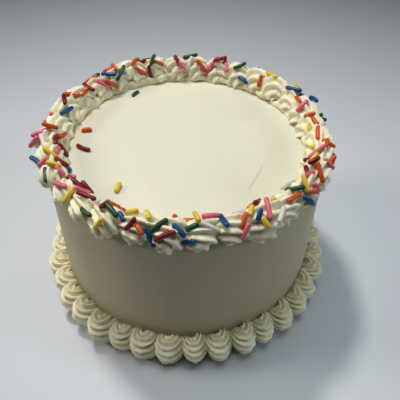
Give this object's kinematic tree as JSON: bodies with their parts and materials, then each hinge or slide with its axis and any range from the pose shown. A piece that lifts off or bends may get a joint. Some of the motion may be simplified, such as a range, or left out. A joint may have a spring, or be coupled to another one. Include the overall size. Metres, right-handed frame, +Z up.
{
  "type": "confetti cake",
  "caption": "Round iced cake with a piped shell border round its rim and another round its foot, and coloured sugar rods scattered over the rim border.",
  "frame": {"origin": "centre of the cake's foot, on the surface it stands on", "axes": "+Z up, -Y towards the side that the picture shows, +X to the right as seen from that side"},
  "size_m": [0.1735, 0.1713, 0.1074],
  "materials": {
    "smooth_icing": "smooth ivory buttercream, satin",
    "rim_icing": "piped ivory buttercream, satin",
    "foot_icing": "piped ivory buttercream, satin"
  },
  "bodies": {
    "root": {"iced_cake": "smooth_icing", "rim_border": "rim_icing", "foot_border": "foot_icing"}
  },
  "joints": []
}
